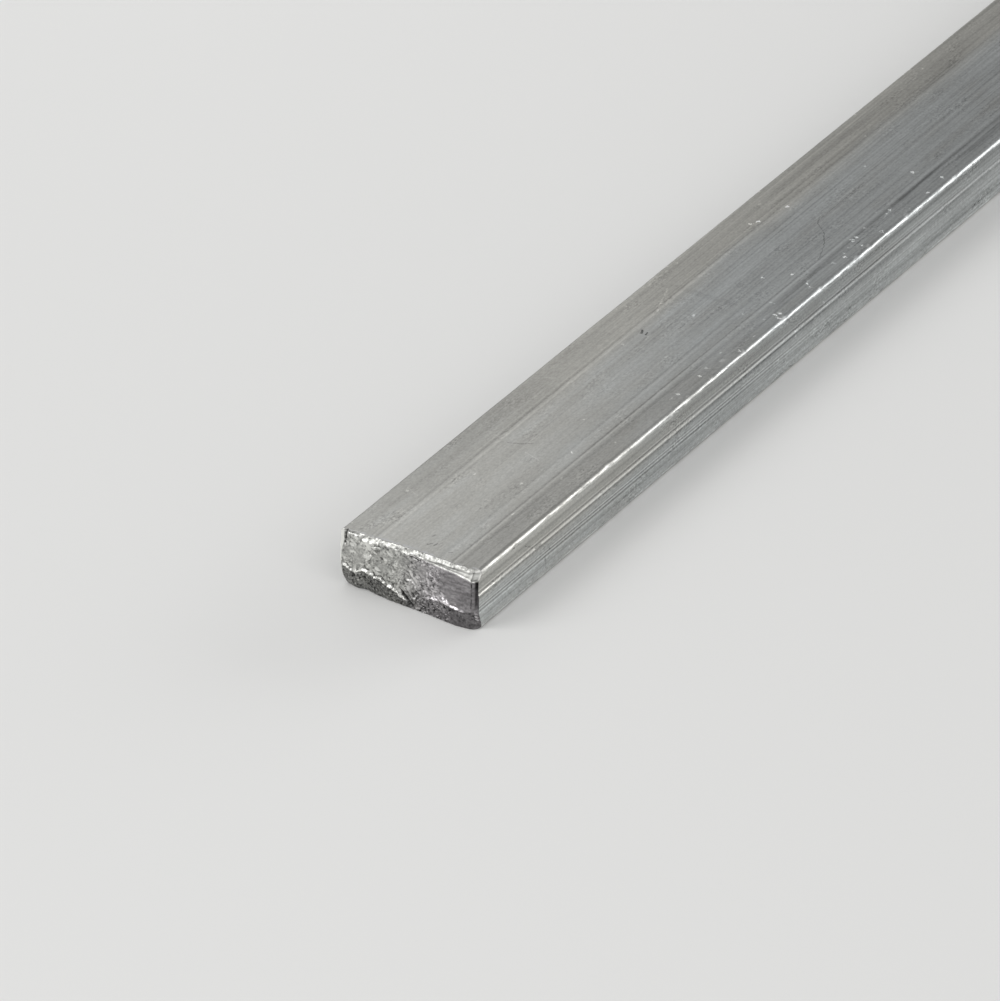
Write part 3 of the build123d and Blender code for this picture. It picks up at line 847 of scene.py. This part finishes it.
# the same with a number as its result
def vectorValue(tree, operation, a, b=(0, 0, 0)):
    return addNode(tree, "ShaderNodeVectorMath", {0: a, 1: b}, operation=operation).outputs["Value"]


# a vector times a number
def scaled(tree, vector, factor):
    return addNode(tree, "ShaderNodeVectorMath", {0: vector, "Scale": factor}, operation="SCALE").outputs[0]


# 0 before start, 1 after end, and 3t^2 - 2t^3 between them
def smoothStep(tree, value, start, end):
    values = {"Value": value, "From Min": start, "From Max": end}
    node = addNode(tree, "ShaderNodeMapRange", values, interpolation_type="SMOOTHSTEP", clamp=False)
    return node.outputs["Result"]


# a * (1 - factor) + b * factor
def mixValue(tree, factor, a, b):
    return addNode(tree, "ShaderNodeMix", {"Factor": factor, 2: a, 3: b}).outputs[0]


# the same for colours
def mixColour(tree, factor, a, b):
    node = addNode(tree, "ShaderNodeMix", {"Factor": factor}, data_type="RGBA")
    for socket, value in ((node.inputs[6], a), (node.inputs[7], b)):
        if isinstance(value, bpy.types.NodeSocket):
            tree.links.new(value, socket)
        else:
            socket.default_value = (*value, 1.0)
    return node.outputs[2]


# noise from -1 to 1, with patches of the given sizes in mm along and across the bar, turned by an angle
def grainNoise(tree, place, longWay, crossWay, seed, detail=3.0, turn=0.0):
    rotation = (0, 0, math.radians(turn))
    values = {"Vector": place, "Rotation": rotation, "Scale": (longWay, crossWay, crossWay)}
    turned = addNode(tree, "ShaderNodeMapping", values, vector_type="TEXTURE")
    values = {"Vector": turned.outputs[0], "W": seed, "Scale": 1.0, "Detail": detail, "Roughness": 0.6}
    noise = addNode(tree, "ShaderNodeTexNoise", values, noise_dimensions="4D")
    return plusTimes(tree, noise.outputs[0], 2.0, -1.0)


# a noise with the patches, seed and detail of its name
def namedNoise(tree, place, name):
    return grainNoise(tree, place, *finish["noises"][name])


# 0 before a named change and 1 after it
def changedAt(tree, value, name):
    return smoothStep(tree, value, *finish["changes"][name])


# 0 below the first of two named depths under the nearer broad face and 1 above the second
def risenTo(tree, fromMiddle, name):
    first, second = finish["depths"][name]
    return smoothStep(tree, fromMiddle, thickness / 2 - first, thickness / 2 - second)


# a tone that follows a list of (place, share) points over a span
def toneAlong(tree, value, points, span):
    node = addNode(tree, "ShaderNodeValToRGB", {"Fac": calc(tree, "DIVIDE", value, span)})
    stops = node.color_ramp.elements
    for place, share in points[2:]:
        stops.new(place / span)
    for stop, (place, share) in zip(stops, points):
        stop.position = place / span
        stop.color = (share / 2, share / 2, share / 2, 1)
    return times(tree, node.outputs[0], 2.0)


# the sum of bell curves at the drawn lines, each times its tone, which changes along the bar
def drawnLines(tree, value, along, lines):
    total = 0.0
    for place, half, depth, nearTone, farTone, turns in lines:
        offset = calc(tree, "DIVIDE", calc(tree, "SUBTRACT", value, place), half)
        bell = calc(tree, "EXPONENT", times(tree, offset, offset, -1.0))
        isNear = smoothStep(tree, along, turns + bar["turnOver"], turns)
        total = plusTimes(tree, bell, plusTimes(tree, isNear, nearTone - farTone, farTone), total)
    return total


# The place on the bar in mm as (along, across, up), and where on the section it is. The hidden broad
# face and the plain edge carry the same pattern the other way round.
def barPlace(tree):
    at = SimpleNamespace()
    coordinates = addNode(tree, "ShaderNodeTexCoord").outputs["Object"]
    toMm = (1 / mm, -1 / mm, 1 / mm)
    at.place = vectorCalc(tree, "MULTIPLY_ADD", coordinates, toMm, (-frontX, width / 2, 0))
    at.along, at.across, at.up = addNode(tree, "ShaderNodeSeparateXYZ", {0: at.place}).outputs
    sideways = calc(tree, "SUBTRACT", at.across, width / 2)
    upwards = calc(tree, "SUBTRACT", at.up, thickness / 2)
    at.fromMiddle = calc(tree, "ABSOLUTE", upwards)
    at.onBroad = risenTo(tree, at.fromMiddle, "broad")
    topSign = plusTimes(tree, calc(tree, "GREATER_THAN", at.up, thickness / 2), 2.0, -1.0)
    stepSign = plusTimes(tree, calc(tree, "GREATER_THAN", at.across, width / 2), 2.0, -1.0)
    at.acrossHere = plusTimes(tree, sideways, topSign, width / 2)
    at.upHere = plusTimes(tree, upwards, stepSign, thickness / 2)
    at.line = plusTimes(tree, namedNoise(tree, at.place, "wander"), 0.12, at.acrossHere)
    at.further = changedAt(tree, at.along, "further")
    return at


# Streaks, bands, clouds and speckle of the drawn metal, with the die lines added.
def drawnTone(tree, at, noises):
    patchy = smoothStep(tree, namedNoise(tree, at.place, "patches"), 0.0, 0.45)
    nearStreak, farStreak = finish["streak"]
    streakShare = plusTimes(tree, at.further, farStreak - nearStreak, nearStreak)
    speckleShare = plusTimes(tree, patchy, finish["speckle"][1], finish["speckle"][0])
    stronger = plusTimes(tree, at.onBroad, 1.0 - finish["edgeFaces"], finish["edgeFaces"])
    fine = plusTimes(tree, noises.streak, streakShare, times(tree, noises.speckle, speckleShare))
    tone = plusTimes(tree, fine, stronger, 1.0)
    tone = plusTimes(tree, noises.band, finish["band"], tone)
    tone = plusTimes(tree, noises.cloud, finish["cloud"], tone)
    fading = plusTimes(tree, namedNoise(tree, at.place, "fading"), 0.9, 1.0)
    broadLines = times(tree, drawnLines(tree, at.line, at.along, bar["broadLines"]), fading)
    edgeLines = drawnLines(tree, at.upHere, at.along, bar["edgeLines"])
    edgeLines = times(tree, edgeLines, plusTimes(tree, fading, 0.5, 0.5))
    return calc(tree, "ADD", tone, mixValue(tree, at.onBroad, edgeLines, broadLines))


# The even tone of each face. The edge faces are painted lighter low down as painted light, lighter near the
# sheared end and duller further along.
def faceTone(tree, at):
    broadTone = toneAlong(tree, at.acrossHere, finish["broadTone"], width)
    lowerDull, upperDull = finish["edgeDull"]
    dull = plusTimes(tree, changedAt(tree, at.upHere, "dullLow"), lowerDull - upperDull, upperDull)
    change = plusTimes(tree, changedAt(tree, at.along, "edgesDuller"), dull, 1.0)
    change = plusTimes(tree, changedAt(tree, at.along, "edgesLighter"), finish["nearShine"], change)
    edgeToneWithPaintedLight = times(tree, toneAlong(tree, at.upHere, finish["edgeToneWithPaintedLight"], thickness), change)
    return mixValue(tree, at.onBroad, edgeToneWithPaintedLight, broadTone)


# The rounded corners carry a painted highlight, lighter and darker in short stretches, and further along
# painted shade on the lower part of their arc narrows it.
def paintCornerHighlights(tree, at, tone):
    below = risenTo(tree, at.fromMiddle, "corner")
    onCorner = times(tree, below, calc(tree, "SUBTRACT", 1.0, at.onBroad))
    nearShine, farShine = finish["cornerShine"]
    paintedCornerHighlight = plusTimes(tree, namedNoise(tree, at.place, "paintedCornerHighlight"), finish["paintedCornerHighlight"], nearShine)
    tone = plusTimes(tree, plusTimes(tree, at.further, farShine, paintedCornerHighlight), onCorner, tone)
    lowerArcShade = risenTo(tree, at.fromMiddle, "lowerArcShade")
    lowerArcShade = times(tree, lowerArcShade, risenTo(tree, at.fromMiddle, "lowerArcEnd"), at.further)
    return plusTimes(tree, lowerArcShade, finish["lowerArcShade"], tone)


# Where the band by the +Y edge lies further along.
def edgeBand(tree, at):
    bandEdge = plusTimes(tree, namedNoise(tree, at.place, "bandEdge"), 2.5, at.line)
    onBand = changedAt(tree, bandEdge, "band")
    return times(tree, onBand, changedAt(tree, at.along, "bandStart"), at.onBroad)


# Dark smears where that band ends and by the ledge edge, and the wide stains.
def addSmears(tree, at, tone):
    smear = smoothStep(tree, namedNoise(tree, at.place, "smears"), -0.05, 0.30)
    byBand = times(tree, changedAt(tree, at.line, "bandSmears"), changedAt(tree, at.line, "bandSmearsEnd"),
                   changedAt(tree, at.along, "smearsStart"))
    byEdge = times(tree, changedAt(tree, at.line, "ledgeSmears"),
                   changedAt(tree, at.line, "ledgeSmearsEnd"))
    smeared = times(tree, calc(tree, "ADD", byBand, byEdge), smear, at.further, at.onBroad)
    tone = plusTimes(tree, smeared, finish["smear"], tone)
    for a, c, halfLength, halfWidth, share in finish["stains"]:
        offset = vectorCalc(tree, "SUBTRACT", at.place, (a, c, thickness))
        offset = vectorCalc(tree, "DIVIDE", offset, (halfLength, halfWidth, 1.0))
        bell = calc(tree, "EXPONENT", times(tree, vectorValue(tree, "DOT_PRODUCT", offset, offset), -1.0))
        tone = plusTimes(tree, bell, share, tone)
    return tone


# Small nicks, painted bright as glints: one in each cell of a random pattern, kept where its random number
# is low enough.
def addSmallNicks(tree, at, ragged, tone):
    around = calc(tree, "ADD", at.across, at.up)
    flat = addNode(tree, "ShaderNodeCombineXYZ", {0: at.along, 1: around}).outputs[0]
    flat = vectorCalc(tree, "ADD", flat, ragged)
    values = {"Vector": flat, "Scale": finish["nickCells"]}
    cells = addNode(tree, "ShaderNodeTexVoronoi", values, voronoi_dimensions="2D")
    drawn = addNode(tree, "ShaderNodeSeparateXYZ", {0: cells.outputs["Color"]}).outputs
    anywhere, byLedge, byPlainEdge = finish["nickChance"]
    nearLedge = changedAt(tree, at.across, "ledgeNicks")
    nearLedge = times(tree, nearLedge, changedAt(tree, at.along, "nicksStart"), at.onBroad)
    chance = plusTimes(tree, nearLedge, byLedge, anywhere)
    chance = plusTimes(tree, changedAt(tree, at.across, "plainEdgeNicks"), byPlainEdge, chance)
    (leastSize, moreSize), (leastLight, moreLight) = finish["nickSize"], finish["nickLight"]
    size = plusTimes(tree, drawn[1], moreSize, leastSize)
    dot = calc(tree, "DIVIDE", cells.outputs["Distance"], size)
    nicked = times(tree, smoothStep(tree, dot, 1.5, 0.7), calc(tree, "LESS_THAN", drawn[0], chance))
    return plusTimes(tree, nicked, plusTimes(tree, drawn[2], moreLight, leastLight), tone)


# Fine scratches in three directions, short and sparse.
def scratchMask(tree, at):
    scratched = 0.0
    for turn, seed, least in finish["scratches"]:
        hair = grainNoise(tree, at.place, *finish["scratchPatch"], seed, 1.0, turn)
        mask = smoothStep(tree, hair, least, least + finish["scratchRise"])
        scratched = calc(tree, "ADD", scratched, mask)
    return times(tree, scratched, smoothStep(tree, namedNoise(tree, at.place, "scratched"), 0.02, 0.4))


# how near a place is to the stroke between two places: 1 near the line, 0 past 1.3 of its half width
def buildStrokeGroup():
    group = bpy.data.node_groups.new("strokeMark", "ShaderNodeTree")
    for name in ("Place", "Start", "End"):
        group.interface.new_socket(name, in_out="INPUT", socket_type="NodeSocketVector")
    group.interface.new_socket("Half Width", in_out="INPUT", socket_type="NodeSocketFloat")
    group.interface.new_socket("Mask", in_out="OUTPUT", socket_type="NodeSocketFloat")
    given = group.nodes.new("NodeGroupInput").outputs
    fromStart = vectorCalc(group, "SUBTRACT", given["Place"], given["Start"])
    whole = vectorCalc(group, "SUBTRACT", given["End"], given["Start"])
    done = vectorValue(group, "DOT_PRODUCT", fromStart, whole)
    share = zeroToOne(group, calc(group, "DIVIDE", done, vectorValue(group, "DOT_PRODUCT", whole, whole)))
    aside = vectorCalc(group, "SUBTRACT", fromStart, scaled(group, whole, share))
    edge = calc(group, "DIVIDE", vectorValue(group, "LENGTH", aside), given["Half Width"])
    out = group.nodes.new("NodeGroupOutput")
    group.links.new(smoothStep(group, edge, 1.3, 0.5), out.inputs["Mask"])
    return group


# The tone of all the single marks as one product, their edges broken by noise. The round nicks among them
# are painted bright as glints.
def markTone(tree, place, ragged):
    shaky = addNode(tree, "ShaderNodeTexNoise", {"Vector": place, "Scale": 1.6}).outputs[1]
    shift = finish["strokeShake"]
    markPlace = vectorCalc(tree, "MULTIPLY_ADD", shaky, (shift,) * 3, place)
    markPlace = vectorCalc(tree, "SUBTRACT", markPlace, (shift / 2,) * 3)
    broken = zeroToOne(tree, plusTimes(tree, namedNoise(tree, place, "broken"), 0.8, 0.85))
    strokeGroup = buildStrokeGroup()
    strokes = [((a, c, thickness), (b, d, thickness), *rest) for a, c, b, d, *rest in finish["topStrokes"]]
    strokes += [((a, width, u), (b, width, v), *rest) for a, u, b, v, *rest in finish["edgeStrokes"]]
    for a, c, u, halfLength, halfWidth, depth in bar["dents"]:
        reach = 0.4 * halfLength
        strokes.append(((a - reach, c, u), (a + reach, c, u), 0.7 * halfWidth, finish["dentTone"]))
    tone = 1.0
    for start, end, halfWidth, share in strokes:
        stroke = addNode(tree, "ShaderNodeGroup", node_tree=strokeGroup)
        tree.links.new(markPlace, stroke.inputs["Place"])
        for name, value in (("Start", start), ("End", end), ("Half Width", halfWidth)):
            stroke.inputs[name].default_value = value
        covered = times(tree, stroke.outputs[0], broken)
        tone = times(tree, tone, plusTimes(tree, covered, share - 1.0, 1.0))

    nickPlace = vectorCalc(tree, "MULTIPLY_ADD", ragged, (finish["nickShake"],) * 3, place)
    nicked = 0.0
    for a, c, halfWidth in finish["nicks"]:
        gap = calc(tree, "DIVIDE", vectorValue(tree, "DISTANCE", nickPlace, (a, c, thickness)), halfWidth)
        nicked = calc(tree, "MAXIMUM", nicked, smoothStep(tree, gap, 1.5, 0.6))
    return times(tree, tone, plusTimes(tree, nicked, finish["nickGlintTone"] - 1.0, 1.0))


# Cooler further along, in clouds and bands and low on the edge faces, warmer in the band by the +Y edge.
def metalColour(tree, at, noises, leftBand):
    cloudShare, bandShare, lowShare = finish["coolShares"]
    coolness = plusTimes(tree, noises.cloud, cloudShare, at.further)
    coolness = plusTimes(tree, noises.band, bandShare, coolness)
    lowSide = times(tree, changedAt(tree, at.up, "coolLow"), calc(tree, "SUBTRACT", 1.0, at.onBroad))
    coolness = zeroToOne(tree, plusTimes(tree, lowSide, lowShare, coolness))
    colour = mixColour(tree, coolness, finish["base"], finish["cool"])
    return mixColour(tree, leftBand, colour, finish["warm"])


# The metal. Its colour is the metal's own colour times the tone of face, streaks, corners, smears and
# marks, where the corners, edge faces, die lines and nicks carry some painted light and shade, and where
# torn is 1 the sheared end's colour, with painted shade and highlight in it.
def millAluminium():
    material = bpy.data.materials.new("millAluminium")
    material.use_nodes = True
    tree = material.node_tree
    tree.nodes.clear()
    at = barPlace(tree)
    torn = addNode(tree, "ShaderNodeAttribute", attribute_name="torn").outputs["Fac"]
    tornColour = addNode(tree, "ShaderNodeAttribute", attribute_name="tornColour").outputs["Color"]
    shared = ("streak", "band", "cloud", "speckle")
    noises = SimpleNamespace(**{name: namedNoise(tree, at.place, name) for name in shared})
    tone = times(tree, drawnTone(tree, at, noises), faceTone(tree, at))
    tone = paintCornerHighlights(tree, at, tone)
    leftBand = edgeBand(tree, at)
    tone = plusTimes(tree, times(tree, leftBand, at.further), finish["bandShine"], tone)
    tone = addSmears(tree, at, tone)
    values = {"Vector": at.place, "Scale": 2.6, "Detail": 1.0}
    ragged = addNode(tree, "ShaderNodeTexNoise", values).outputs[1]
    ragged = vectorCalc(tree, "SUBTRACT", ragged, (0.5, 0.5, 0.5))
    tone = addSmallNicks(tree, at, ragged, tone)
    scratched = scratchMask(tree, at)
    tone = plusTimes(tree, scratched, finish["scratch"], tone)
    tone = times(tree, tone, markTone(tree, at.place, ragged))

    colour = scaled(tree, metalColour(tree, at, noises, leftBand), tone)
    colour = mixColour(tree, torn, colour, tornColour)
    rough = plusTimes(tree, noises.streak, finish["roughStreaks"], finish["roughness"])
    rough = mixValue(tree, torn, rough, finish["tornRoughness"])
    streakHeight, speckleHeight, scratchHeight = finish["bump"]
    height = plusTimes(tree, noises.speckle, speckleHeight, times(tree, noises.streak, streakHeight))
    height = plusTimes(tree, scratched, scratchHeight, height)
    height = times(tree, height, calc(tree, "SUBTRACT", 1.0, torn))
    bump = addNode(tree, "ShaderNodeBump", {"Strength": 1.0, "Distance": mm, "Height": height}).outputs[0]
    values = {"Base Color": colour, "Metallic": 1.0, "Roughness": rough, "Normal": bump}
    shader = addNode(tree, "ShaderNodeBsdfPrincipled", values)
    output = addNode(tree, "ShaderNodeOutputMaterial")
    tree.links.new(shader.outputs[0], output.inputs["Surface"])
    return material


barSkin.data.materials.append(millAluminium())
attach(barSkin, "root")
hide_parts("flat_bar")
print("finish set")

studio = dict(
    floorHalf=6.0,
    floorColour=(0.78, 0.78, 0.77),
    floorRoughness=0.9,
    worldColour=(1.0, 1.0, 1.0),
    worldStrength=0.50,
    # lights: place, target, width and height in metres, radiance, and the angle that a grid leaves open
    lights=dict(
        keyLight=((-1.30, 0.58, 0.84), (frontX * mm, 0, 0.005), (0.75, 0.75), 4.2, 130),
        nearLight=((-0.234, 0.223, 0.205), (frontX * mm, 0, 0.005), (0.18, 0.18), 0.9, 180),
        rearLight=((3.05, -1.40, 0.70), (-0.45, 0, 0.1), (3.0, 1.4), 4.8, 100),
        fillLight=((-1.1, -1.0, 1.0), (frontX * mm, 0, 0.005), (1.0, 1.0), 1.5, 180),
    ),
    # the camera's place from the sheared edge as (along, across, up) in mm, its right and up, and its lens
    cameraPlace=(-1136.0, 713.8, 783.8),
    cameraRight=(0.5168, -0.8561, 0.0),
    cameraUp=(0.4258, 0.2571, 0.8675),
    lens=369.7,
)


# One colour and one roughness.
def plainMaterial(name, colour, roughness):
    material = bpy.data.materials.new(name)
    material.use_nodes = True
    shader = material.node_tree.nodes["Principled BSDF"]
    shader.inputs["Base Color"].default_value = (*colour, 1)
    shader.inputs["Roughness"].default_value = roughness
    return material


# One square, just below the bar.
def buildFloor():
    half = studio["floorHalf"]
    corners = [(-half, -half, 0), (half, -half, 0), (half, half, 0), (-half, half, 0)]
    mesh = bpy.data.meshes.new("floor")
    mesh.from_pydata(corners, [], [(0, 1, 2, 3)])
    floor = bpy.data.objects.new("floor", mesh)
    floor.location.z = -0.1 * mm
    bpy.context.scene.collection.objects.link(floor)
    mesh.materials.append(plainMaterial("paleFloor", studio["floorColour"], studio["floorRoughness"]))


# A soft light with a grid. Its energy is radiance * pi * area, lowered to 1 - h / tan(h) of that, with h
# half the open angle, so that the grid leaves the face's radiance as it is.
def buildLight(name, place, target, size, radiance, openAngle):
    light = bpy.data.lights.new(name, "AREA")
    light.shape = "RECTANGLE"
    light.size, light.size_y = size
    half = math.radians(openAngle / 2)
    light.spread = 2 * half
    light.energy = radiance * math.pi * size[0] * size[1] * (1 - half / math.tan(half))
    lamp = bpy.data.objects.new(name, light)
    lamp.location = place
    lamp.rotation_euler = (Vector(target) - Vector(place)).to_track_quat("-Z", "Y").to_euler()
    lamp.visible_camera = False
    bpy.context.scene.collection.objects.link(lamp)


# The same soft light from all sides.
def buildWorld():
    world = bpy.data.worlds.new("softStudio")
    world.use_nodes = True
    background = world.node_tree.nodes["Background"]
    background.inputs[0].default_value = (*studio["worldColour"], 1)
    background.inputs[1].default_value = studio["worldStrength"]
    bpy.context.scene.world = world


# Its back is right x up, and its place is measured from the sheared top edge.
def buildCamera():
    data = bpy.data.cameras.new("camera")
    data.lens = studio["lens"]
    data.sensor_width = 36.0
    data.clip_end = 50
    camera = bpy.data.objects.new("camera", data)
    right, up = Vector(studio["cameraRight"]).normalized(), Vector(studio["cameraUp"]).normalized()
    back = right.cross(up)
    turn = [[right[i], up[i], back[i]] for i in range(3)]
    along, across, above = studio["cameraPlace"]
    place = Vector(((frontX + along) * mm, (width / 2 - across) * mm, above * mm))
    camera.matrix_world = Matrix.Translation(place) @ Matrix(turn).to_4x4()
    bpy.context.scene.collection.objects.link(camera)
    bpy.context.scene.camera = camera


buildFloor()
buildWorld()
for name, settings in studio["lights"].items():
    buildLight(name, *settings)
buildCamera()
bpy.context.scene.view_settings.view_transform = "Standard"
print("studio set")
